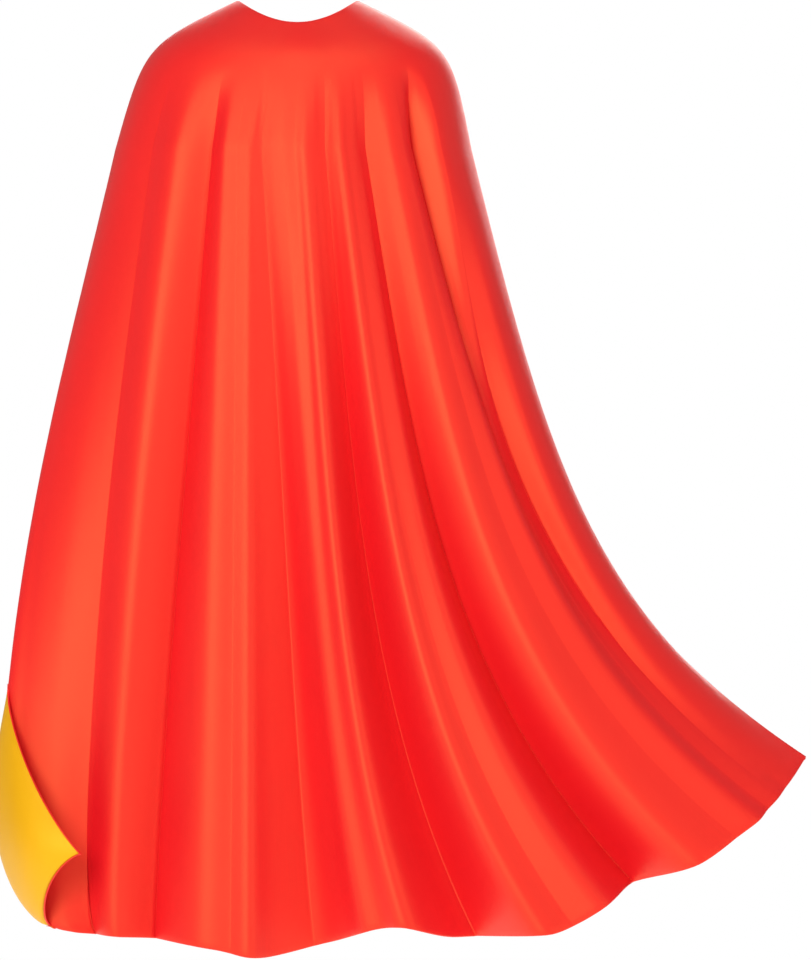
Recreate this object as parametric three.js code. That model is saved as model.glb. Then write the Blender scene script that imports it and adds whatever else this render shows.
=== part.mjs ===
// A child's superhero cape: red satin outside, yellow satin lining, closed at the throat by a
// hook-and-loop tab. Millimetres, +Z up. The wearer faces +Y, so the back of the cape faces -Y.
// The origin is the centre of the neck opening, level with the tops of its two sides.
//
// The cloth is one smooth surface, from which every sheet is laid off at its own height: `turn` runs
// round the body in degrees, 0 at the centre of the back and positive towards the right, and `fall`
// runs from 0 at the neckline to 1 at the bottom of the yoke, and on to 2 at the hem.
import * as THREE from 'three';

const rad = THREE.MathUtils.degToRad;
const vec = (x, y, z) => new THREE.Vector3(x, y, z);
const mix = THREE.MathUtils.lerp;

// Cloth
const SATIN = 1.2;             // thickness of one sheet
const SHEET_GAP = 0.3;         // air between the satin and the lining
const SEAM_GAP = 0.3;          // clearance between sheets that are sewn edge to edge
const WRAP = 120;              // how far each side edge comes round the body, degrees

// Neck opening
const NECK_HALF_WIDTH = 44.5;
const NECK_BACK = 46;          // from the origin back to the neckline
const NECK_FRONT = 50;         // from the origin forward to the throat
const NECK_BACK_DROP = 18;     // the neckline's dip at the nape
const NECK_FRONT_DROP = 38;    // and at the throat

// Shoulders
const SHOULDER_HALF_WIDTH = 113;
const SHOULDER_BACK = 74;
const SHOULDER_FRONT = 44;
const SHOULDER_DROP = 33;      // below the neck at the sides
const SHOULDER_BACK_DROP = 44; // and at the centre of the back
const SHOULDER_FRONT_DROP = 58;

// Foot of the yoke, where the cape starts to hang
const CHEST_HALF_WIDTH = 131;
const CHEST_SHIFT = -3;        // the cape sits a little to the left
const CHEST_BACK = 84;
const CHEST_FRONT = 58;
const YOKE_DEPTH = 110;

const CAPE_LENGTH = 700;       // from the neck to the lowest point of the hem

// Hem: [turn, x, y, height above the hem's lowest point], from the left edge to the tip of the tail
const HEM = [
  [-120, -180, -84, 22],
  [-90, -171, -82, 19],
  [-53, -148, -82, 16],
  [-28, -106, -96, 13],
  [-20, -58, -104, 6],
  [-13, -25, -110, 0],
  [-9, 20, -114, 10],
  [3, 75, -120, 23],
  [9, 119, -124, 15],
  [15, 178, -128, 18],
  [24, 245, -128, 52],
  [32, 285, -122, 67],
  [39, 325, -108, 94],
  [52, 350, -92, 116],
  [75, 362, -76, 130],
  [120, 372, -56, 144],
];
const LEFT_SWELL = 46;         // how far the left side bows out above the hem
const SWELL_PEAK = 0.706;      // where, from the chest at 0 to the hem at 1

// Folds: [turn, relief at the foot of the yoke, halfway down, at the hem], ridges positive
const FOLDS = [
  [-120, 0, 0, 0],
  [-90, 0.5, 2, 3],
  [-70, 0, 2, 5],
  [-52, -1, 0, -1],
  [-39, 4, 8, 10],
  [-28, -6, -13, -14],
  [-21, 3, 7, 11],
  [-17.5, 2, 4.5, 8],
  [-14.5, 2.5, 6, 11],
  [-10, -1, -13, -26],
  [-6, 1, -3, -10],
  [-2.5, 2, 3.5, 6],
  [0.5, 2, 5, 8],
  [3.5, 4, 10, 18],
  [10.5, -2, -16, -28],
  [15, 4, 10, 20],
  [17.5, 2, 5, 12],
  [20, 0, 4, 13],
  [25, -6, -18, -32],
  [33, 4, 8, 14],
  [37, 3, 5, 9],
  [41, -1, 6, 12],
  [46, -11, -4, 4],
  [53, 5, -12, 2],
  [62, 3, 3, 0],
  [80, 0, 2, 0],
  [120, 0, 0, 0],
];

// Throat tab
const TAB_WIDTH = 36;
const TAB_OVERLAP = 32;        // how far the two tabs lap
const TAB_LEAN = 16;           // how far the tab's lower edge stands forward of its upper edge
const TAB_CORNER = 7;          // radius of the corners at a tab's end
const TAB_FALL = 0.2;          // how far down the yoke's edge a tab is joined
const PATCH_WIDTH = 24;        // hook and loop patches
const PATCH_HEIGHT = 28;
const PATCH_THICK = 1.2;
const PATCH_CORNER = 2;
const PATCH_GAP = 0.3;
const STITCH_INSET = 2;        // the seam round a patch, in from its edge
const STITCH_THICK = 0.5;
const THREAD = 0.7;

// Turned-up corner at the lower left
const FLAP_START = 1.693;      // fall of the side edge where the corner starts to turn
const FLAP_TIP = vec(-156.6, -128, 75.6 - CAPE_LENGTH);
const FLAP_BULGE = 9;          // how far the turned cloth swells out
const FLAP_CLEAR = 2.4;        // between the skirt's edge and the turned cloth
const FLAP_AWAY = vec(-0.41, -0.91, 0).normalize();
const FLAP_STEPS = 10;

// Care label
const LABEL_WIDTH = 22;
const LABEL_HEIGHT = 30;
const LABEL_THICK = 0.5;
const LABEL_DROP = 2;          // below the neckline
const NAPE_TO_CHEST = 98;      // along the cloth at the centre of the back

// Fineness of the sheets
const CREASE = 0.7;              // how sharply a valley is creased, from 0, round, to 1
const STEPS_PER_FOLD = 2;
const YOKE_ROWS = 6;
const SKIRT_ROWS = 12;

const RED = 0xe8402c;
const YELLOW = 0xf0b428;
const WHITE = 0xf2f0ea;
const satin = (color) => new THREE.MeshStandardMaterial({ color, roughness: 0.4, metalness: 0 });
const matt = (color) => new THREE.MeshStandardMaterial({ color, roughness: 0.85, metalness: 0 });

// A smooth curve through rows [at, value, value, ...], without overshoot; returns the values.
function through(rows, at, crease = 0) {
  let k = 0;
  while (k < rows.length - 2 && at > rows[k + 1][0]) k += 1;
  const slope = (i, c, side) => {
    if (i <= 0 || i >= rows.length - 1) return null;
    const a = (rows[i][c] - rows[i - 1][c]) / (rows[i][0] - rows[i - 1][0]);
    const b = (rows[i + 1][c] - rows[i][c]) / (rows[i + 1][0] - rows[i][0]);
    if (a < 0 && b > 0) return crease * (side < 0 ? a : b);
    return a * b <= 0 ? 0 : (2 * a * b) / (a + b);
  };
  const width = rows[k + 1][0] - rows[k][0];
  const t = THREE.MathUtils.clamp((at - rows[k][0]) / width, 0, 1);
  return rows[k].slice(1).map((from, i) => {
    const to = rows[k + 1][i + 1];
    const chord = (to - from) / width;
    const m0 = (slope(k, i + 1, 1) ?? chord) * width;
    const m1 = (slope(k + 1, i + 1, -1) ?? chord) * width;
    return (2 * t ** 3 - 3 * t ** 2 + 1) * from + (t ** 3 - 2 * t ** 2 + t) * m0
      + (3 * t ** 2 - 2 * t ** 3) * to + (t ** 3 - t ** 2) * m1;
  });
}

// A ring round the body: its half-width, its depths behind and in front, and its heights.
function ring(turn, half, back, front, side, backDrop, frontDrop) {
  const angle = rad(turn);
  const c = Math.cos(angle);
  const depth = c > 0 ? back : front;
  const drop = mix(side, c > 0 ? backDrop : frontDrop, c * c);
  return vec(half * Math.sin(angle), -depth * c, -drop);
}

function neckline(turn) {
  return ring(turn, NECK_HALF_WIDTH, NECK_BACK, NECK_FRONT, 0, NECK_BACK_DROP, NECK_FRONT_DROP);
}

function shoulder(turn) {
  return ring(turn, SHOULDER_HALF_WIDTH, SHOULDER_BACK, SHOULDER_FRONT,
    SHOULDER_DROP, SHOULDER_BACK_DROP, SHOULDER_FRONT_DROP);
}

function chest(turn) {
  const at = ring(turn, CHEST_HALF_WIDTH, CHEST_BACK, CHEST_FRONT, YOKE_DEPTH, YOKE_DEPTH, YOKE_DEPTH);
  at.x += CHEST_SHIFT;
  return at;
}

// How far the cloth has moved from its place at the chest to its place at the hem.
function sweep(turn, t) {
  const left = t * (1.35 - 0.35 * t);
  const right = 0.46 * t + 0.54 * t ** 3.9;
  return mix(left, right, THREE.MathUtils.smoothstep(turn, -28, 10));
}

// The left side bows out as it falls, and draws in again above the hem.
function swell(turn, t) {
  const share = THREE.MathUtils.smoothstep(-turn, 20, WRAP);
  const bow = t < SWELL_PEAK
    ? Math.sin((Math.PI / 2) * (t / SWELL_PEAK))
    : (1 - ((Math.min(t, 1) - SWELL_PEAK) / (1 - SWELL_PEAK)) ** 3) ** 0.6;
  return LEFT_SWELL * share * bow;
}

// The cloth before it is folded.
function smoothCloth(turn, fall) {
  if (fall < 1) {
    const bend = shoulder(turn);
    return new THREE.CubicBezierCurve3(neckline(turn), bend, bend, chest(turn)).getPoint(fall);
  }
  const t = fall - 1;
  const [x, y, rise] = through(HEM, turn);
  const from = chest(turn);
  const s = sweep(turn, t);
  return vec(mix(from.x, x, s) - swell(turn, t), mix(from.y, y, t), mix(from.z, rise - CAPE_LENGTH, t));
}

// The height of the folds, which grow down the cape.
function relief(turn, fall) {
  const [top, middle, hem] = through(FOLDS, turn, CREASE);
  return through([[0, 0], [0.55, 0], [1, top], [1.5, middle], [2, hem]], fall)[0];
}

function cloth(turn, fall) {
  const at = smoothCloth(turn, fall);
  const facing = rad(turn * mix(1, 0.45, THREE.MathUtils.smoothstep(fall, 1, 2)));
  const lift = relief(turn, fall);
  at.x += lift * Math.sin(facing);
  at.y -= lift * Math.cos(facing);
  return at;
}

// A grid of points on a surface, each moved along the surface's normal. `settle` says where on the
// surface a point's normal is taken, for places where the surface bends sharply or draws to a point.
function laidOff(surface, across, down, height, settle = (u, v) => [u, v]) {
  const step = 1e-3;
  return down.map((v) => across.map((u) => {
    const [nu, nv] = settle(u, v);
    const du = surface(nu + step, nv).sub(surface(nu - step, nv));
    const dv = surface(nu, nv + step).sub(surface(nu, nv - step));
    return surface(u, v).addScaledVector(dv.cross(du).normalize(), height);
  }));
}

// A closed sheet between two grids of points; `outer` is on the side that its faces see.
function sheet(outer, inner) {
  const rows = outer.length;
  const cols = outer[0].length;
  const position = [];
  const index = [];
  const id = (side, r, c) => side * rows * cols + r * cols + c;
  for (const grid of [outer, inner]) {
    for (const row of grid) {
      for (const at of row) position.push(at.x, at.y, at.z);
    }
  }
  const quad = (a, b, c, d) => index.push(a, b, c, a, c, d);
  for (let r = 0; r < rows - 1; r += 1) {
    for (let c = 0; c < cols - 1; c += 1) {
      quad(id(0, r, c), id(0, r + 1, c), id(0, r + 1, c + 1), id(0, r, c + 1));
      quad(id(1, r, c), id(1, r, c + 1), id(1, r + 1, c + 1), id(1, r + 1, c));
    }
    quad(id(0, r, 0), id(1, r, 0), id(1, r + 1, 0), id(0, r + 1, 0));
    quad(id(0, r, cols - 1), id(0, r + 1, cols - 1), id(1, r + 1, cols - 1), id(1, r, cols - 1));
  }
  for (let c = 0; c < cols - 1; c += 1) {
    quad(id(0, 0, c), id(0, 0, c + 1), id(1, 0, c + 1), id(1, 0, c));
    quad(id(0, rows - 1, c), id(1, rows - 1, c), id(1, rows - 1, c + 1), id(0, rows - 1, c + 1));
  }
  const geometry = new THREE.BufferGeometry();
  geometry.setAttribute('position', new THREE.Float32BufferAttribute(position, 3));
  geometry.setIndex(index);
  geometry.computeVertexNormals();
  return geometry;
}

function mesh(name, geometry, material) {
  const made = new THREE.Mesh(geometry, material);
  made.name = name;
  return made;
}

const NEAR = SHEET_GAP / 2;    // from the middle of the cloth to a sheet's inner face
const FAR = NEAR + SATIN;      // and to its outer face

// The red satin and its yellow lining on one surface. The satin lies outside, the lining inside.
function twoSheets(name, surface, across, down, settle) {
  const at = (height) => laidOff(surface, across, down, height, settle);
  return [
    mesh(`${name}_shell`, sheet(at(FAR), at(NEAR)), satin(RED)),
    mesh(`${name}_lining`, sheet(at(-NEAR), at(-FAR)), satin(YELLOW)),
  ];
}

const spread = (from, to, count) => Array.from({ length: count + 1 }, (_, i) => mix(from, to, i / count));

// Places across the cloth: a few between each two folds.
function turnsAcross() {
  const found = [];
  for (let k = 0; k < FOLDS.length - 1; k += 1) {
    const [from, to] = [FOLDS[k][0], FOLDS[k + 1][0]];
    found.push(...spread(from, to, to - from > 20 ? 3 : STEPS_PER_FOLD).slice(0, -1));
  }
  return [...found, WRAP];
}

function yokeAndSkirt() {
  const across = turnsAcross();
  const yokeEnd = 1 - SEAM_GAP / 2 / YOKE_DEPTH;
  const skirtStart = 1 + SEAM_GAP / 2 / (CAPE_LENGTH - YOKE_DEPTH);
  // both sides of the seam lie square to the same surface
  const settle = (u, v) => [u, v >= yokeEnd && v <= skirtStart ? 1 : v];
  return [
    ...twoSheets('yoke', cloth, across, spread(0, yokeEnd, YOKE_ROWS), settle),
    ...twoSheets('skirt', cloth, across, spread(skirtStart, 2, SKIRT_ROWS), settle),
  ];
}

// The patch between four curves, which meet at its corners.
function between(top, bottom, left, right) {
  return (u, v) => {
    const ruled = top(u).multiplyScalar(1 - v).addScaledVector(bottom(u), v);
    ruled.addScaledVector(left(v), 1 - u).addScaledVector(right(v), u);
    ruled.addScaledVector(top(0), -(1 - u) * (1 - v)).addScaledVector(top(1), -u * (1 - v));
    return ruled.addScaledVector(bottom(0), -(1 - u) * v).addScaledVector(bottom(1), -u * v);
  };
}

const bezier = (...points) => {
  const curve = new THREE.CubicBezierCurve3(...points);
  return (t) => curve.getPoint(t);
};

// The lower left corner, turned up over the back so that its lining shows. Its fold lies along the
// skirt's edge from FLAP_START to the hem.
function corner() {
  const clear = 2 * FAR + FLAP_CLEAR;
  const fold = (share) => cloth(-WRAP, mix(FLAP_START, 2, share)).addScaledVector(FLAP_AWAY, clear);
  const [start, middle, end] = [fold(0), fold(0.5), fold(1)];
  const side = bezier(start, start.clone().add(vec(1, -34, -44)),
    FLAP_TIP.clone().add(vec(-22, 2, 22)), FLAP_TIP.clone());
  const hem = bezier(end, end.clone().add(vec(-10, -26, 18)),
    FLAP_TIP.clone().add(vec(-18, 2, -6)), FLAP_TIP.clone());
  // u runs down the first half of the fold, v across to the tip
  const flat = between((u) => fold(u / 2), (u) => hem(1 - u), side, (v) => fold((1 + v) / 2));
  const surface = (u, v) => {
    const at = flat(u, v);
    at.y -= FLAP_BULGE * Math.sin(Math.PI * u) * Math.sin(Math.PI * v);
    return at;
  };
  const steps = spread(0, 1, FLAP_STEPS);
  const inside = (value) => THREE.MathUtils.clamp(value, 0.08, 0.92);
  return twoSheets('corner', surface, steps, steps, (u, v) => [inside(u), inside(v)]);
}

// The throat, where the two tabs lap flat on each other: its middle, and the way down and out of it.
const throat = vec(0, NECK_FRONT, -NECK_FRONT_DROP);
const throatDown = vec(0, TAB_LEAN, -Math.sqrt(TAB_WIDTH ** 2 - TAB_LEAN ** 2)).normalize();
const throatOut = vec(0, -throatDown.z, throatDown.y);
const TAB_STACK = 2 * FAR + 2 * PATCH_THICK + 3 * PATCH_GAP;   // between the two tabs' middles

// A tab's surface: `along` runs from the yoke's edge to the tab's end, `down` from neck to chest.
// side is 1 for the right tab, which lies outside, and -1 for the left.
function tab(side, along, down) {
  const turn = side * WRAP;
  const straight = 0.6;
  const flatHalf = TAB_OVERLAP / 2;
  const lift = side > 0 ? TAB_STACK : 0;
  const rail = (fall, drop) => {
    const start = cloth(turn, fall);
    const away = cloth(turn + side, fall).sub(cloth(turn - side, fall)).normalize();
    const meet = throat.clone().addScaledVector(throatDown, drop).addScaledVector(throatOut, lift);
    const from = meet.clone().add(vec(side * flatHalf, 0, 0));
    if (along >= straight) {
      return from.add(vec((-side * TAB_OVERLAP * (along - straight)) / (1 - straight), 0, 0));
    }
    const reach = start.distanceTo(from) / 2.4;
    return bezier(start, start.clone().addScaledVector(away, reach),
      from.clone().add(vec(side * reach, 0, 0)), from)(along / straight);
  };
  const toEnd = (TAB_OVERLAP * Math.max(0, 1 - along)) / (1 - straight);
  const cut = TAB_CORNER - Math.sqrt(TAB_CORNER ** 2 - Math.max(0, TAB_CORNER - toEnd) ** 2);
  const share = mix(cut / TAB_WIDTH, 1 - cut / TAB_WIDTH, down);
  const edge = cloth(turn, TAB_FALL * share);
  const at = rail(0, 0).lerp(rail(TAB_FALL, TAB_WIDTH), share);
  const chord = cloth(turn, 0).lerp(cloth(turn, TAB_FALL), share);
  return at.addScaledVector(edge.sub(chord), Math.max(0, 1 - along / straight) ** 2);
}

function tabSheets(side) {
  const name = side > 0 ? 'right_tab' : 'left_tab';
  const along = [...spread(0.006, 0.6, 9), ...spread(0.6, 0.9, 3).slice(1), 0.95, 0.98, 1];
  const across = side > 0 ? along : along.map((a) => 1 - a).reverse();
  const surface = (u, v) => tab(side, side > 0 ? u : 1 - u, v);
  return twoSheets(name, surface, across, spread(0, 1, 6));
}

// A rectangle with round corners, centred on the origin.
function roundedRectangle(Kind, width, height, corner) {
  const shape = new Kind();
  const [x, y] = [width / 2 - corner, height / 2 - corner];
  shape.absarc(x, y, corner, 0, Math.PI / 2);
  shape.absarc(-x, y, corner, Math.PI / 2, Math.PI);
  shape.absarc(-x, -y, corner, Math.PI, 1.5 * Math.PI);
  shape.absarc(x, -y, corner, 1.5 * Math.PI, 2 * Math.PI);
  shape.closePath();
  return shape;
}

// Lays a flat piece on the throat, with its back `height` out from the left tab's middle.
function onThroat(piece, height) {
  piece.rotation.x = -Math.atan2(throatOut.y, throatOut.z);
  piece.position.copy(throat).addScaledVector(throatDown, TAB_WIDTH / 2);
  piece.position.addScaledVector(throatOut, height);
  return piece;
}

function patch(name, height, color) {
  const shape = roundedRectangle(THREE.Shape, PATCH_WIDTH, PATCH_HEIGHT, PATCH_CORNER);
  const geometry = new THREE.ExtrudeGeometry(shape, {
    depth: PATCH_THICK, bevelEnabled: false, curveSegments: 4,
  });
  return onThroat(mesh(name, geometry, matt(color)), height);
}

// The seam that holds a patch, where its thread shows on the other face of the tab.
function stitching(name, height, color) {
  const [width, depth] = [PATCH_WIDTH - 2 * STITCH_INSET, PATCH_HEIGHT - 2 * STITCH_INSET];
  const shape = roundedRectangle(THREE.Shape, width, depth, PATCH_CORNER);
  const inner = [width - 2 * THREAD, depth - 2 * THREAD];
  shape.holes.push(roundedRectangle(THREE.Path, ...inner, PATCH_CORNER - THREAD));
  const geometry = new THREE.ExtrudeGeometry(shape, {
    depth: STITCH_THICK, bevelEnabled: false, curveSegments: 4,
  });
  return onThroat(mesh(name, geometry, matt(color)), height);
}

function closure() {
  const loop = FAR + PATCH_GAP;
  const hook = loop + PATCH_THICK + PATCH_GAP;
  return [
    patch('loop_patch', loop, YELLOW),
    patch('hook_patch', hook, YELLOW),
    stitching('loop_patch_stitching', -FAR - PATCH_GAP - STITCH_THICK, YELLOW),
    stitching('hook_patch_stitching', TAB_STACK + FAR + PATCH_GAP, RED),
  ];
}

// The label hangs inside the nape, sewn in at the neck seam.
function careLabel() {
  const surface = (across, down) => {
    const fall = down / NAPE_TO_CHEST;
    const half = cloth(90, fall).x;
    return cloth(THREE.MathUtils.radToDeg(Math.asin(across / half)), fall);
  };
  const across = spread(-LABEL_WIDTH / 2, LABEL_WIDTH / 2, 6);
  const down = spread(LABEL_DROP, LABEL_DROP + LABEL_HEIGHT, 6);
  const face = -FAR - SHEET_GAP;
  const at = (height) => laidOff(surface, across, down, height);
  return mesh('care_label', sheet(at(face), at(face - LABEL_THICK)), matt(WHITE));
}

const cape = new THREE.Group();
cape.add(...yokeAndSkirt(), ...corner(), ...tabSheets(1), ...tabSheets(-1), ...closure(), careLabel());

export default cape;
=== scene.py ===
import math

import bmesh
import bpy
import numpy as np
from mathutils import Matrix, Vector, noise


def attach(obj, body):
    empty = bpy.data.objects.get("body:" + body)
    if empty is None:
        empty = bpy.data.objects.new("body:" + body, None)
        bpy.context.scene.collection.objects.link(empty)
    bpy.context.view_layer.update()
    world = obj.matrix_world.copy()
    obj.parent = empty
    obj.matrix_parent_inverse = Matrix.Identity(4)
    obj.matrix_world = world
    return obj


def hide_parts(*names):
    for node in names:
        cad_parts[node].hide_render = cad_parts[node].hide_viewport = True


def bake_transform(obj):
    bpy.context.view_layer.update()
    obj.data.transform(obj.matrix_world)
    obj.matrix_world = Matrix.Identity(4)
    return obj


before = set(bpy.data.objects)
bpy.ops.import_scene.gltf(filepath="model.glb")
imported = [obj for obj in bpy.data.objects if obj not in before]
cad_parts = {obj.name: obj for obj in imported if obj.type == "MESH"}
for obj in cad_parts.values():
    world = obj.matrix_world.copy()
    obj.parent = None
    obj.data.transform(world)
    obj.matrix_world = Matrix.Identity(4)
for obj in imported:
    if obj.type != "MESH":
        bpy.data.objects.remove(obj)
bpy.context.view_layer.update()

MM = 0.001

# ------------------------------------------------------------------------------------------- sizes
WRAP = 120                # how far each side edge comes round the body, degrees
NECK = dict(half=44.5, back=46, front=50, side=0, back_drop=18, front_drop=38)
SHOULDER = dict(half=113, back=74, front=44, side=33, back_drop=44, front_drop=58)
CHEST = dict(half=131, back=84, front=58, side=110, back_drop=110, front_drop=110)
CHEST_SHIFT = -3

# the hem: turn, x, y, z, from the left edge to the tip of the tail
HEM = [
    (-120, -180, -84, -678), (-90, -171, -82, -681), (-53, -148, -82, -684), (-28, -106, -96, -687),
    (-20, -58, -104, -694), (-13, -25, -110, -700), (-9, 20, -114, -690), (3, 75, -120, -677),
    (9, 119, -124, -685), (15, 178, -128, -682), (24, 245, -128, -648), (32, 285, -122, -633),
    (39, 325, -108, -606), (52, 350, -92, -584), (75, 362, -76, -570), (120, 372, -56, -556),
]
LEFT_SWELL = 46           # how far the left side bows out above the hem
SWELL_PEAK = 0.706        # and where, from the chest at 0 to the hem at 1

# the folds: turn, and their relief at the foot of the yoke, halfway down and at the hem; ridges positive
FOLDS = [
    (-120, 0, 0, 0), (-90, 0.5, 2, 3), (-70, 0, 2, 5), (-52, -1, 0, -1), (-39, 4, 8, 10),
    (-28, -6, -13, -14), (-21, 3, 7, 11), (-17.5, 2, 4.5, 8), (-14.5, 2.5, 6, 11),
    (-10, -1, -13, -26), (-6, 1, -3, -10), (-2.5, 2, 3.5, 6), (0.5, 2, 5, 8), (3.5, 4, 10, 18),
    (10.5, -2, -16, -28), (15, 4, 10, 20), (17.5, 2, 5, 12), (20, 0, 4, 13), (25, -6, -18, -32),
    (33, 4, 8, 14), (37, 3, 5, 9), (41, -1, 6, 12), (46, -11, -4, 4), (53, 5, -12, 2),
    (62, 3, 3, 0), (80, 0, 2, 0), (120, 0, 0, 0),
]
CREASE = 0.7              # how sharply a valley is creased, from 0, round, to 1

CLOTH = 0.4               # thickness of one satin
LINING_DEPTH = 1.3        # from the satin's outer face to the lining's outer face
EDGE_ROLL = 0.85          # radius of the turned edge, where the satin rolls round onto the lining
EDGE_STEPS = 6
PIPING = 2.2              # how far the lining shows beside the red, above the turned corner
EDGE_TURN = math.radians(205)

CAPE_FLAT = (0.78, 0.70)  # the cloths as they were cut: width at the hem, and length
CORNER_FLAT = (0.14, 0.12)
TAB_FLAT = (0.12, 0.036)

TAB_WIDTH = 36
TAB_OVERLAP = 32          # how far the two tabs lap at the throat
TAB_LEAN = 16             # how far a tab's lower edge stands forward of its upper edge
TAB_CORNER = 7
TAB_FALL = 0.2            # how far down the yoke's edge a tab is joined
TAB_STACK = 6.0           # from the left tab's middle to the right tab's, past the two patches
PATCH_WIDTH, PATCH_HEIGHT, PATCH_THICK = 24, 28, 1.2

FLAP_START = 1.693        # fall of the left edge where the corner starts to turn up
FLAP_TIP = (-156.6, -128, -624.4)
FLAP_BULGE = 9            # how far the turned cloth swells out
FLAP_ROLL = 5             # how far its soft fold bows out past the skirt's edge


def mix(a, b, t):
    return a + (b - a) * t


def smooth(t):
    t = np.clip(t, 0, 1)
    return t * t * (3 - 2 * t)


def through(rows, at, crease=0):
    """A smooth curve through rows of (place, value, ...), without overshoot, read at every place in at.
    A lowest point may be creased."""
    rows = np.array(rows, float)
    places, values = rows[:, 0], rows[:, 1:]
    chords = np.diff(values, axis=0) / np.diff(places)[:, None]
    a, b = chords[:-1], chords[1:]
    valley = (a < 0) & (b > 0)
    inner = np.where(a * b > 0, 2 * a * b / np.where(a + b == 0, 1, a + b), 0)
    after = np.vstack([chords[:1], np.where(valley, crease * b, inner)])
    before = np.vstack([np.where(valley, crease * a, inner), chords[-1:]])
    k = np.clip(np.searchsorted(places, at, side="right") - 1, 0, len(places) - 2)
    width = (places[k + 1] - places[k])[:, None]
    t = np.clip((at - places[k])[:, None] / width, 0, 1)
    start, end = 2 * t**3 - 3 * t**2 + 1, 3 * t**2 - 2 * t**3
    return start * values[k] + end * values[k + 1] + width * (
        (t**3 - 2 * t**2 + t) * after[k] + (t**3 - t**2) * before[k])


# ------------------------------------------------------------------------------- the cape's surface
def ring(turn, half, back, front, side, back_drop, front_drop):
    """A ring round the body, with its half-width, its depths and its heights."""
    angle = np.radians(turn)
    c = np.cos(angle)
    depth = np.where(c > 0, back, front)
    drop = mix(side, np.where(c > 0, back_drop, front_drop), c * c)
    return np.stack([half * np.sin(angle), -depth * c, -drop], axis=-1)


def sweep(turn, t):
    """How far the cloth has moved from its place at the chest to its place at the hem."""
    left = t * (1.35 - 0.35 * t)
    right = 0.46 * t + 0.54 * t**3.9
    return mix(left, right, smooth((turn + 28) / 38))


def swell(turn, t):
    share = smooth((-turn - 20) / (WRAP - 20))
    rising = np.sin(math.pi / 2 * np.clip(t / SWELL_PEAK, 0, 1))
    falling = (1 - np.clip((t - SWELL_PEAK) / (1 - SWELL_PEAK), 0, 1) ** 3) ** 0.6
    return LEFT_SWELL * share * np.where(t < SWELL_PEAK, rising, falling)


def relief(turn, fall):
    """The height of the folds, which grow down the cape. turn runs across, fall runs down."""
    top, middle, hem = through(FOLDS, turn, CREASE).T
    flat = 0 * top
    levels = [(0, *flat), (0.55, *flat), (1, *top), (1.5, *middle), (2, *hem)]
    return through(levels, fall)


def cape(turn, fall):
    """Points of the cape, a row for each fall and a column for each turn."""
    t_across, f_down = np.meshgrid(turn, fall)
    neck, bend, chest = (ring(t_across, **part) for part in (NECK, SHOULDER, CHEST))
    chest[..., 0] += CHEST_SHIFT
    v = np.clip(f_down, 0, 1)[..., None]
    yoke = (1 - v)**3 * neck + 3 * v * (1 - v) * bend + v**3 * chest
    t = np.clip(f_down - 1, 0, 1)
    hem = np.broadcast_to(through(HEM, turn), yoke.shape)
    skirt = np.stack([
        mix(chest[..., 0], hem[..., 0], sweep(t_across, t)) - swell(t_across, t),
        mix(chest[..., 1], hem[..., 1], t),
        mix(chest[..., 2], hem[..., 2], t)], axis=-1)
    at = np.where(f_down[..., None] < 1, yoke, skirt)
    facing = np.radians(t_across * mix(1, 0.45, smooth(t)))
    lift = relief(turn, fall)
    at[..., 0] += lift * np.sin(facing)
    at[..., 1] -= lift * np.cos(facing)
    return at


def normals(points):
    """Unit normals of a grid of points, towards the satin's side."""
    across = np.gradient(points, axis=1)
    down = np.gradient(points, axis=0)
    n = np.cross(down, across)
    return n / np.maximum(np.linalg.norm(n, axis=-1, keepdims=True), 1e-9)


def bezier(a, b, c, d, t):
    """Points of a cubic curve with ends a and d, a row for each t."""
    t = np.asarray(t, float)[:, None]
    return (1 - t)**3 * a + 3 * t * (1 - t)**2 * b + 3 * t**2 * (1 - t) * c + t**3 * d


def corner_patch(u, v):
    """The turned-up corner: a row for each v, a column for each u. Its fold lies along v = 0 and u = 1,
    its two free edges, the cape's side edge and its hem, along u = 0 and v = 1."""
    def fold(share):
        return cape(np.array([-WRAP]), mix(FLAP_START, 2, np.atleast_1d(share)))[:, 0]
    tip = np.array(FLAP_TIP)
    start, end = fold(0)[0], fold(1)[0]
    top, right = fold(u / 2), fold((1 + v) / 2)
    left = bezier(start, start + (1, -34, -44), tip + (-22, 2, 22), tip, v)
    bottom = bezier(end, end + (-10, -26, 18), tip + (-18, 2, -6), tip, 1 - u)
    middle = top[-1]
    uu, vv = np.meshgrid(u, v)
    uu, vv = uu[..., None], vv[..., None]
    at = mix(top[None], bottom[None], vv) + mix(left[:, None], right[:, None], uu)
    at = at - mix(mix(start, middle, uu), mix(tip, end, uu), vv)
    near = vv * (1 - uu) / 0.05
    roll = FLAP_ROLL * near * np.exp(1 - near) * np.sin(math.pi * np.clip(vv + uu, 0, 2) / 2)
    at[..., 0:1] -= roll
    at[..., 1:2] -= FLAP_BULGE * np.sin(math.pi * uu) * np.sin(math.pi * vv)
    return at


throat = np.array([0, NECK["front"], -NECK["front_drop"]], float)
throat_down = np.array([0, TAB_LEAN, -math.sqrt(TAB_WIDTH**2 - TAB_LEAN**2)]) / TAB_WIDTH
throat_out = np.array([0, -throat_down[2], throat_down[1]])
STRAIGHT = 0.6            # share of a tab's length before its flat end


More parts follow.
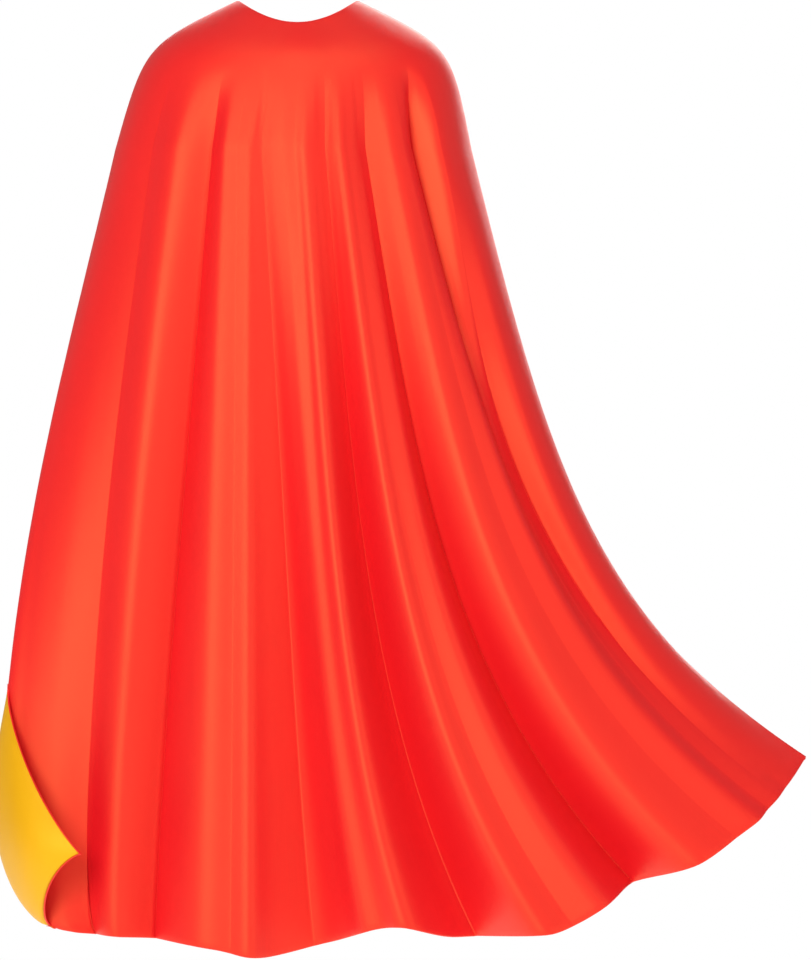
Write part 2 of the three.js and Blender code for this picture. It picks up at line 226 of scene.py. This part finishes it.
def tab_patch(side, along, down):
    """A tab, from the yoke's edge to its end: a row for each down, a column for each along."""
    turn = side * WRAP
    lift = TAB_STACK if side > 0 else 0

    def rail(fall, drop):
        start, ahead, behind = (cape(np.array([turn + d], float), np.array([fall]))[0, 0]
                                for d in (0, side, -side))
        away = (ahead - behind) / np.linalg.norm(ahead - behind)
        meet = throat + throat_down * drop + throat_out * lift + (side * TAB_OVERLAP / 2, 0, 0)
        reach = np.linalg.norm(meet - start) / 2.4
        curve = bezier(start, start + away * reach, meet + (side * reach, 0, 0), meet,
                       np.clip(along / STRAIGHT, 0, 1))
        run = np.clip((along - STRAIGHT) / (1 - STRAIGHT), 0, 1) * TAB_OVERLAP
        return curve - np.stack([side * run, 0 * run, 0 * run], axis=1)

    to_end = TAB_OVERLAP * (1 - along) / (1 - STRAIGHT)
    cut = TAB_CORNER - np.sqrt(TAB_CORNER**2 - np.clip(TAB_CORNER - to_end, 0, TAB_CORNER)**2)
    share = mix(cut / TAB_WIDTH, 1 - cut / TAB_WIDTH, down[:, None])
    at = mix(rail(0, 0)[None], rail(TAB_FALL, TAB_WIDTH)[None], share[..., None])
    edge = cape(np.array([turn], float), TAB_FALL * down)[:, 0]
    chord = mix(edge[:1], edge[-1:], down[:, None])
    ease = np.clip(1 - along / STRAIGHT, 0, 1)**2
    return at + (edge - chord)[:, None] * ease[None, :, None]


# ------------------------------------------------------------------------------------------ meshes
def piece(name, bm, material, body="yoke"):
    mesh = bpy.data.meshes.new(name)
    bm.to_mesh(mesh)
    bm.free()
    mesh.polygons.foreach_set("use_smooth", [True] * len(mesh.polygons))
    mesh.materials.append(material)
    made = bpy.data.objects.new(name, mesh)
    bpy.context.scene.collection.objects.link(made)
    return made


def grid(points, size):
    """A sheet through a grid of points, with the cloth's own flat sizes as its UV map."""
    def laid_flat(line, length):
        run = np.concatenate([[0], np.cumsum(np.linalg.norm(np.diff(line, axis=0), axis=1))])
        return run / run[-1] * length

    rows, cols = points.shape[:2]
    across = laid_flat(points[rows // 2], size[0])
    down = laid_flat(points[:, cols // 2], size[1])
    bm = bmesh.new()
    bmesh.ops.create_grid(bm, x_segments=cols - 1, y_segments=rows - 1, size=1)
    uv = bm.loops.layers.uv.new("cloth")
    places = {}
    for v in bm.verts:
        col = round((v.co.x + 1) / 2 * (cols - 1))
        row = round((1 - v.co.y) / 2 * (rows - 1))
        places[v] = (across[col], down[row])
        v.co = Vector(points[row, col]) * MM
    for face in bm.faces:
        for loop in face.loops:
            loop[uv].uv = places[loop.vert]
    return bm


def edged(points, out, left=None, right=None, top=None, bottom=None):
    """Adds the turned edge round a grid: past each side the cloth rolls round a small radius. Where a
    side's share is 0 the cloth runs on straight, tucked under the piece that it is joined to. A side
    with no share stays as it is."""
    def bands(side, inner, n, share):
        ahead = side - inner
        ahead = ahead - (ahead * n).sum(-1, keepdims=True) * n
        ahead = ahead / np.maximum(np.linalg.norm(ahead, axis=-1, keepdims=True), 1e-9)
        share = np.broadcast_to(share, side.shape[:1])[:, None]
        for k in range(1, EDGE_STEPS + 1):
            angle = EDGE_TURN * k / EDGE_STEPS
            turned = side + EDGE_ROLL * (n * (math.cos(angle) - 1) + ahead * math.sin(angle))
            tucked = side + ahead * 0.3 * k - n * 0.1 * k
            yield mix(tucked, turned, share)

    def with_columns(at, n, left, right):
        if left is not None:
            before = list(bands(at[:, 0], at[:, 1], n[:, 0], left))
            at = np.concatenate([np.stack(before[::-1], 1), at], axis=1)
            n = np.concatenate([np.repeat(n[:, :1], EDGE_STEPS, 1), n], axis=1)
        if right is not None:
            after = list(bands(at[:, -1], at[:, -2], n[:, -1], right))
            at = np.concatenate([at, np.stack(after, 1)], axis=1)
            n = np.concatenate([n, np.repeat(n[:, -1:], EDGE_STEPS, 1)], axis=1)
        return at, n

    def matching(share, now, before):
        """A side's shares, carried on over the columns that the left and right edges added."""
        if share is None:
            return None
        first = EDGE_STEPS if left is not None else 0
        share = np.broadcast_to(share, (before,))
        last = now - before - first
        return np.concatenate([np.repeat(share[:1], first), share, np.repeat(share[-1:], last)])

    wide, wide_out = with_columns(points, out, left, right)
    counts = wide.shape[1], points.shape[1]
    tall, _ = with_columns(wide.swapaxes(0, 1), wide_out.swapaxes(0, 1),
                           matching(top, *counts), matching(bottom, *counts))
    return tall.swapaxes(0, 1)


def thicken(made, thickness):
    """Gives a sheet its thickness, behind the faces that it has."""
    solid = made.modifiers.new("thickness", "SOLIDIFY")
    solid.thickness = thickness * MM
    solid.offset = -1
    return made


# --------------------------------------------------------------------------------------- materials
def linear(hex_colour):
    """An sRGB hex colour as linear RGBA."""
    channels = [int(hex_colour[i:i + 2], 16) / 255 for i in (0, 2, 4)]
    return [c / 12.92 if c <= 0.04045 else ((c + 0.055) / 1.055)**2.4 for c in channels] + [1]


def node(tree, kind, settings):
    """Adds a node. Each setting names a property or a socket; a value that is a socket is linked."""
    made = tree.nodes.new(kind)
    for key, value in settings.items():
        if isinstance(key, str) and hasattr(made, key):
            setattr(made, key, value)
        elif isinstance(value, bpy.types.NodeSocket):
            tree.links.new(value, made.inputs[key])
        else:
            made.inputs[key].default_value = value
    return made


WAVE = 2 * math.pi / 20   # a wave texture's bands are this far apart at a scale of 1


def finished(name, colour, height, bump, **constants):
    """A material from its colour and height functions, which add their nodes and give a socket."""
    material = bpy.data.materials.new(name)
    material.use_nodes = True
    tree = material.node_tree
    shader = tree.nodes["Principled BSDF"]
    tree.links.new(colour(tree), shader.inputs["Base Color"])
    strength, distance = bump
    raised = node(tree, "ShaderNodeBump", {"Strength": strength, "Distance": distance, "Height": height(tree)})
    tree.links.new(raised.outputs["Normal"], shader.inputs["Normal"])
    for socket, value in constants.items():
        shader.inputs[socket.replace("_", " ")].default_value = value
    return material


def satin(name, dye, deep, gloss):
    """Polyester satin, piece-dyed and calendered: long floats give a saturated dye under a soft, wide
    gloss, with faint slubs down the warp. Its threads are 0.15 mm apart, too fine to show, so the
    weave is drawn at 0.6 mm."""
    def slubs(tree):
        # one thread wide and about 60 mm long
        cloth = node(tree, "ShaderNodeUVMap", {"uv_map": "cloth"}).outputs["UV"]
        along = node(tree, "ShaderNodeMapping", {"Scale": (1 / 0.0006, 1 / 0.06, 1), "Vector": cloth})
        return cloth, node(tree, "ShaderNodeTexNoise", {
            "Vector": along.outputs["Vector"], "Scale": 1.0, "Detail": 3.0, "Roughness": 0.6}).outputs[0]

    def colour(tree):
        cloth, streaks = slubs(tree)
        clouds = node(tree, "ShaderNodeTexNoise", {"Vector": cloth, "Scale": 12.0, "Detail": 2.0})
        share = node(tree, "ShaderNodeMath", {"operation": "MULTIPLY", 0: clouds.outputs[0], 1: streaks})
        return node(tree, "ShaderNodeMix", {"data_type": "RGBA", 0: share.outputs[0], 6: linear(dye),
                                            7: linear(deep)}).outputs[2]

    def height(tree):
        cloth, streaks = slubs(tree)
        warp = node(tree, "ShaderNodeTexWave", {"bands_direction": "X", "Scale": WAVE / 0.0006,
                                                "Vector": cloth})
        weft = node(tree, "ShaderNodeTexWave", {"bands_direction": "DIAGONAL", "Scale": WAVE / 0.0024,
                                                "Distortion": 0.6, "Vector": cloth})
        weave = node(tree, "ShaderNodeMath", {"operation": "MULTIPLY_ADD", 0: weft.outputs[1], 1: 0.4,
                                              2: warp.outputs[1]})
        return node(tree, "ShaderNodeMath", {"operation": "MULTIPLY_ADD", 0: streaks, 1: 1.2,
                                             2: weave.outputs[0]}).outputs[0]

    return finished(name, colour, height, (0.22, 0.00012), Roughness=0.45, Specular_IOR_Level=1.0,
                    Specular_Tint=linear(gloss))


def tape(name, light, dark, roughness):
    """Woven polyamide closure tape, heat-set: a dull, slightly uneven fibre under 1 mm long."""
    def fibre(tree):
        where = node(tree, "ShaderNodeTexCoord", {}).outputs["Object"]
        return node(tree, "ShaderNodeTexNoise", {"Vector": where, "Scale": 1 / 0.001,
                                                 "Detail": 4.0}).outputs[0]

    def colour(tree):
        return node(tree, "ShaderNodeMix", {"data_type": "RGBA", 0: fibre(tree), 6: linear(light),
                                            7: linear(dark)}).outputs[2]

    return finished(name, colour, fibre, (0.6, 0.0002), Roughness=roughness)


def thread(name, light, dark):
    """Spun polyester sewing thread, two plies twisted every 1 mm: matt, with a fine diagonal ply."""
    def ply(tree):
        where = node(tree, "ShaderNodeTexCoord", {}).outputs["Object"]
        return node(tree, "ShaderNodeTexWave", {"bands_direction": "DIAGONAL", "Scale": WAVE / 0.001,
                                                "Vector": where}).outputs[1]

    def colour(tree):
        return node(tree, "ShaderNodeMix", {"data_type": "RGBA", 0: ply(tree), 6: linear(light),
                                            7: linear(dark)}).outputs[2]

    return finished(name, colour, ply, (0.5, 0.0001), Roughness=0.7)


red_satin = satin("red_polyester_satin", "d00c1c", "bc081a", "ffb464")
yellow_satin = satin("yellow_polyester_satin", "cc9403", "bc8402", "ffd860")
label_satin = satin("white_label_satin", "f0efea", "e4e2da", "ffffff")
hook_tape = tape("hook_tape_polyamide", "e8aa28", "b87c10", 0.45)
loop_tape = tape("loop_tape_brushed_polyamide", "f0b436", "c48a1c", 0.9)
red_thread = thread("red_spun_polyester_thread", "d0161e", "8c0a12")
yellow_thread = thread("yellow_spun_polyester_thread", "ecaa20", "a87010")


# ----------------------------------------------------------------------------------------- the cape
COLUMNS, ROWS = 214, 180
YOKE_ROWS = 38


def turns_across(count):
    """Turns spaced evenly over the hem and the chest together, and close together where a fold creases."""
    fine = np.linspace(-WRAP, WRAP, 2001)
    lengths = 0
    for fall in (1.0, 1.5, 2.0):
        at = cape(fine, np.array([fall]))[0]
        run = np.concatenate([[0], np.cumsum(np.linalg.norm(np.diff(at, axis=0), axis=1))])
        lengths = lengths + run / run[-1]
    even = np.interp(np.linspace(0, lengths[-1], count), lengths, fine)
    creases = [b[0] for a, b, c in zip(FOLDS, FOLDS[1:], FOLDS[2:])
               if any(b[i] < min(a[i], c[i]) for i in (1, 2, 3))]
    beside = np.array([crease + d for crease in creases for d in (-0.12, 0, 0.12)])
    clear = [turn for turn in even if abs(beside - turn).min() > 0.2]
    return np.sort(np.concatenate([clear, beside]))


def square(at):
    """The area of a grid of points, in square millimetres."""
    a, b = at[1:, 1:] - at[:-1, :-1], at[1:, :-1] - at[:-1, 1:]
    return np.linalg.norm(np.cross(a, b), axis=-1).sum() / 2


def two_cloths(name, points, out, flat, edges, nodes, shown=None):
    """The red satin outside and the yellow lining inside, both on one grid of points. `shown` is how far
    the lining stands out past the red on the left, for each row."""
    face = edged(points + out * CLOTH, out, **edges)
    shell = thicken(piece(f"{name}_red_satin", grid(face, flat), red_satin), CLOTH)
    back = points - out * (LINING_DEPTH - CLOTH)
    if shown is not None:
        ahead = back[:, 0] - back[:, 1]
        back[:, 0] += ahead / np.linalg.norm(ahead, axis=1)[:, None] * shown[:, None]
    lining = thicken(piece(f"{name}_yellow_satin", grid(back[:, ::-1], flat), yellow_satin), CLOTH)
    for made, kind, slot in ((shell, "shell", "red_satin"), (lining, "lining", "yellow_satin")):
        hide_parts(*(f"{each}_{kind}" for each in nodes))
        area = min(1.0, max(0.3, square(points) * MM**2 / (flat[0] * flat[1])))
    return shell, lining


turns = turns_across(COLUMNS)
falls = np.concatenate([np.linspace(0, 1, YOKE_ROWS + 1)[:-1], np.linspace(1, 2, ROWS - YOKE_ROWS)])
points = cape(turns, falls)
free = falls > TAB_FALL
main = two_cloths(
    "cape", points, normals(points), CAPE_FLAT,
    dict(left=np.where(free & (falls < FLAP_START), 1.0, 0.0), right=np.where(free, 1.0, 0.0),
         top=1.0, bottom=1.0),
    ("yoke", "skirt"), shown=PIPING * smooth((falls - 1.4) / 0.1) * (falls < FLAP_START))
for made in main:
    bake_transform(made)


def turned_corner():
    """The corner is laid out finely along its fold, where it is rolled."""
    steps = np.linspace(0, 1, 90)
    u, v = 1 - (1 - steps)**1.5, steps**1.5
    at = corner_patch(u, v)
    out = normals(at)
    out[:3, -3:] = out[3, -4]
    made = two_cloths("corner", at, out, CORNER_FLAT, dict(left=1.0, bottom=1.0), ("corner",))
    start = Vector(at[0, 0]) * MM
    for each in made:
        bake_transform(each)


def tab_cloths(side, name):
    along = np.concatenate([np.linspace(0, 0.9, 50)[:-1], 0.9 + 0.1 * np.sin(np.linspace(0, math.pi / 2, 20))])
    at = tab_patch(side, along, np.linspace(0, 1, 34))
    if side < 0:
        at = at[:, ::-1]
    edges = dict(top=1.0, bottom=1.0, **({"right": 1.0} if side > 0 else {"left": 1.0}))
    made = two_cloths(name, at, normals(at), TAB_FLAT, edges, (name,))
    first = at[:, 0] if side > 0 else at[:, -1]
    seam = Vector(first[-1] - first[0]).normalized()
    ahead = Vector(at[17, 20] - at[17, 0]) if side > 0 else Vector(at[17, -21] - at[17, -1])
    ahead = (ahead - seam * ahead.dot(seam)).normalized()
    start = Vector(first[17]) * MM
    for each in made:
        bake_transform(each)


turned_corner()
tab_cloths(1, "right_tab")
tab_cloths(-1, "left_tab")


# --------------------------------------------------------------------------- closure and care label
def on_throat(bm, height):
    """Takes a piece from the flat on to the throat: x stays, y runs up the tab, z is its height."""
    up = Vector(throat_down) * -1
    out = Vector(throat_out)
    middle = Vector(throat + throat_down * TAB_WIDTH / 2 + throat_out * height)
    for v in bm.verts:
        v.co = (middle + Vector((v.co.x, 0, 0)) + up * v.co.y + out * v.co.z) * MM
    bmesh.ops.recalc_face_normals(bm, faces=bm.faces)
    return bm


def rounded_plate(width, height, radius, thick, soften):
    """A flat plate with round corners and a softened rim, from 0 up to its thickness."""
    bm = bmesh.new()
    bmesh.ops.create_cube(bm, size=1)
    for v in bm.verts:
        v.co = Vector((v.co.x * width, v.co.y * height, (v.co.z + 0.5) * thick))
    upright = [e for e in bm.edges if abs(e.verts[0].co.z - e.verts[1].co.z) > thick / 2]
    bmesh.ops.bevel(bm, geom=upright, offset=radius, affect="EDGES", segments=8, profile=0.5, material=-1)
    rims = [e for e in bm.edges if abs(e.verts[0].co.z - e.verts[1].co.z) < 1e-6
            and len(e.link_faces) == 2 and abs(e.calc_face_angle(0)) > 1]
    bmesh.ops.bevel(bm, geom=rims, offset=soften, affect="EDGES", segments=3, profile=0.5, material=-1)
    return bm


def stood_on(bm, make, pitch, reach):
    """Stands a copy of a small shape every pitch or so on a patch, each turned and moved a little."""
    small = bpy.data.meshes.new("one")
    one = bmesh.new()
    make(one)
    one.to_mesh(small)
    one.free()
    for row in range(-math.floor(PATCH_HEIGHT / 2 / pitch) + 1, math.floor(PATCH_HEIGHT / 2 / pitch)):
        for col in range(-math.floor(PATCH_WIDTH / 2 / pitch) + 1, math.floor(PATCH_WIDTH / 2 / pitch)):
            stray = noise.noise_vector(Vector((row * 1.7, col * 2.3, reach)))
            first = len(bm.verts)
            bm.from_mesh(small)
            bm.verts.ensure_lookup_table()
            turned = Matrix.Rotation(stray.z * math.pi, 3, "Z")
            for v in bm.verts[first:]:
                v.co = turned @ v.co + Vector(((col + 0.3 * stray.x) * pitch, (row + 0.3 * stray.y) * pitch, 0))
    bpy.data.meshes.remove(small)
    return bm


def thread_loop(bm, centre_line, radius, closed):
    """A thread of round section along a line of points, with both ends sunk."""
    sides = 6
    made = []
    for k, at in enumerate(centre_line):
        before = centre_line[k - 1] if k else at
        after = centre_line[k + 1] if k < len(centre_line) - 1 else at
        ahead = (after - before).normalized()
        side = ahead.cross(Vector((0, 0, 1)) if abs(ahead.z) < 0.9 else Vector((0, 1, 0))).normalized()
        lift = side.cross(ahead)
        made.append([bm.verts.new(at + radius * (side * math.cos(a) + lift * math.sin(a)))
                     for a in np.linspace(0, 2 * math.pi, sides + 1)[:-1]])
    edges = [[bm.edges.new((made_k[i], made_k[(i + 1) % sides])) for i in range(sides)]
             for made_k in (made[0], made[-1])]
    for one, two in zip(made, made[1:]):
        for i in range(sides):
            j = (i + 1) % sides
            bm.faces.new((one[i], one[j], two[j], two[i]))
    bmesh.ops.edgeloop_fill(bm, edges=edges[0])
    bmesh.ops.edgeloop_fill(bm, edges=edges[1])


def hook(bm):
    """One hook: a monofilament 0.25 mm thick that rises and bends over."""
    path = [Vector((0, 0, 0.7)), Vector((0, 0, 1.4)), Vector((0.12, 0, 1.75)), Vector((0.4, 0, 1.8)),
            Vector((0.58, 0, 1.5))]
    thread_loop(bm, path, 0.13, False)


def loop(bm):
    """One loop of brushed pile, as a low arch."""
    angles = np.linspace(0, math.pi, 6)
    thread_loop(bm, [Vector((0.65 * math.cos(a), 0.1 * math.sin(3 * a), 0.7 + 1.2 * math.sin(a)))
                     for a in angles], 0.1, False)


def closure_patch(name, node_name, make, pitch, flip, height, material, body):
    bm = rounded_plate(PATCH_WIDTH, PATCH_HEIGHT, PATCH_CORNER, 0.9, 0.25)
    stood_on(bm, make, pitch, height)
    if flip:
        bmesh.ops.scale(bm, vec=(1, 1, -1), verts=bm.verts)
    made = piece(name, on_throat(bm, height), material)
    made.data.polygons.foreach_set("use_smooth", [True] * len(made.data.polygons))
    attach(made, body)
    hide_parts(node_name)
    return made


def run_of_stitches(name, node_name, height, sink, material, body):
    """Lockstitches 2.4 mm long round a patch, 2 mm in from its edge."""
    half = Vector((PATCH_WIDTH / 2 - STITCH_INSET, PATCH_HEIGHT / 2 - STITCH_INSET, 0))
    corner = PATCH_CORNER - STITCH_INSET / 2
    line = []
    for quarter, (sx, sy) in enumerate(((1, 1), (-1, 1), (-1, -1), (1, -1))):
        for step in range(7):
            a = math.radians(90 * quarter + 15 * step)
            line.append(Vector((sx * (half.x - corner) + corner * math.cos(a),
                                sy * (half.y - corner) + corner * math.sin(a), 0)))
    line.append(line[0])
    run = np.concatenate([[0], np.cumsum([(b - a).length for a, b in zip(line, line[1:])])])
    count = round(run[-1] / STITCH_PITCH)

    def at(distance):
        return Vector([float(np.interp(distance % run[-1], run, [p[c] for p in line])) for c in range(3)])

    bm = bmesh.new()
    for k in range(count):
        start = k * run[-1] / count
        shown = STITCH_PITCH * 0.86
        path = [at(start + shown * share) + Vector((0, 0, rise * sink)) for share, rise in
                ((0, -0.6), (0.12, 0.35), (0.35, 0.7), (0.65, 0.7), (0.88, 0.35), (1, -0.6))]
        thread_loop(bm, path, STITCH_THREAD / 2, False)
    made = piece(name, on_throat(bm, height), material)
    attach(made, body)
    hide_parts(node_name)


PATCH_CORNER = 3
STITCH_INSET = 2
STITCH_PITCH = 2.8
STITCH_THREAD = 0.36
right_inside = TAB_STACK - LINING_DEPTH + CLOTH
closure_patch("hook_patch_hooks", "hook_patch", hook, 1.4, True, right_inside - 0.05, hook_tape,
              "right_tab")
closure_patch("loop_patch_pile", "loop_patch", loop, 1.1, False, CLOTH + 0.05, loop_tape,
              "left_tab")
run_of_stitches("right_tab_stitches", "hook_patch_stitching", TAB_STACK + CLOTH, 0.3, red_thread, "right_tab")
run_of_stitches("left_tab_stitches", "loop_patch_stitching", -LINING_DEPTH + CLOTH, -0.3, yellow_thread,
                "left_tab")


def care_label():
    """A blank satin label, sewn in at the nape by its top edge and hanging a little free."""
    across = np.linspace(-LABEL_WIDTH / 2, LABEL_WIDTH / 2, 40)
    down = np.linspace(LABEL_DROP, LABEL_DROP + LABEL_HEIGHT, 54)
    rows = []
    for place in down:
        fall = np.array([place / NAPE_TO_CHEST])
        half = cape(np.array([90.0]), fall)[0, 0, 0]
        rows.append(cape(np.degrees(np.arcsin(across / half)), fall)[0])
    at = np.stack(rows)
    share = ((down - LABEL_DROP) / LABEL_HEIGHT)[:, None]
    curl = 0.5 * share**2 + 0.35 * share * (across[None] / LABEL_WIDTH * 2)**2
    at = at - normals(at) * (LINING_DEPTH - CLOTH + 0.25 + curl)[..., None]
    bm = grid(at[:, ::-1], (LABEL_WIDTH * MM, LABEL_HEIGHT * MM))
    made = thicken(piece("blank_care_label", bm, label_satin), 0.25)
    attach(made, "yoke")
    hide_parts("care_label")


LABEL_WIDTH, LABEL_HEIGHT, LABEL_DROP = 22, 30, 2
NAPE_TO_CHEST = 98        # along the cloth, from the neckline to the foot of the yoke
care_label()

# ---------------------------------------------------------------------------------- floor and light
FLOOR = -0.95
bm = bmesh.new()
bmesh.ops.create_grid(bm, x_segments=1, y_segments=1, size=4)
bmesh.ops.translate(bm, verts=bm.verts, vec=(0, 0, FLOOR))
floor_mesh = bpy.data.meshes.new("floor")
bm.to_mesh(floor_mesh)
bm.free()
floor = bpy.data.objects.new("floor", floor_mesh)
bpy.context.scene.collection.objects.link(floor)


def paper_colour(tree):
    where = node(tree, "ShaderNodeTexCoord", {}).outputs["Object"]
    fibre = node(tree, "ShaderNodeTexNoise", {"Vector": where, "Scale": 1 / 0.004}).outputs[0]
    return node(tree, "ShaderNodeMix", {"data_type": "RGBA", 0: fibre, 6: linear("f7f7f6"),
                                        7: linear("efefed")}).outputs[2]


def paper_height(tree):
    where = node(tree, "ShaderNodeTexCoord", {}).outputs["Object"]
    return node(tree, "ShaderNodeTexNoise", {"Vector": where, "Scale": 1 / 0.002}).outputs[0]


# uncoated background paper: matt and very slightly fibrous
floor_mesh.materials.append(finished("white_background_paper", paper_colour, paper_height, (0.1, 0.0002),
                                     Roughness=0.95, Emission_Strength=0.6))

# white all round, and dim as a light
world = bpy.data.worlds.new("studio")
world.use_nodes = True
tree = world.node_tree
background = tree.nodes["Background"]
background.inputs["Color"].default_value = (1, 1, 1, 1)
seen = node(tree, "ShaderNodeLightPath", {}).outputs["Is Camera Ray"]
strength = node(tree, "ShaderNodeMapRange", {"Value": seen, "To Min": 0.34, "To Max": 1.0})
tree.links.new(strength.outputs["Result"], background.inputs["Strength"])
bpy.context.scene.world = world


def area_light(name, place, target, size, power):
    light = bpy.data.lights.new(name, "AREA")
    light.energy = power
    light.size = size
    made = bpy.data.objects.new(name, light)
    made.location = place
    made.rotation_euler = (Vector(target) - Vector(place)).to_track_quat("-Z", "Y").to_euler()
    bpy.context.scene.collection.objects.link(made)


middle = (0.08, -0.05, -0.35)
area_light("key", (-1.2, -3.1, 0.6), middle, 1.5, 86)
area_light("top", (0.2, -1.5, 1.9), (0.0, -0.05, -0.2), 1.4, 26)
area_light("right_fill", (2.6, -2.2, 0.3), middle, 1.8, 22)
area_light("inside_fill", (0.4, 2.6, 0.8), middle, 1.8, 62)

# ------------------------------------------------------------------------------------------- camera
VIEW_HEIGHT = 0.6996      # of the view, at the back of the cape
DISTANCE = 7.0
camera_data = bpy.data.cameras.new("camera")
camera_data.sensor_width = 36
camera_data.lens = 36 * DISTANCE / VIEW_HEIGHT
camera = bpy.data.objects.new("camera", camera_data)
camera.location = (0.0794, -DISTANCE - 0.09, -0.3535)
camera.rotation_euler = (math.pi / 2, 0, 0)
bpy.context.scene.collection.objects.link(camera)
bpy.context.scene.camera = camera
bpy.context.scene.view_settings.view_transform = "Standard"
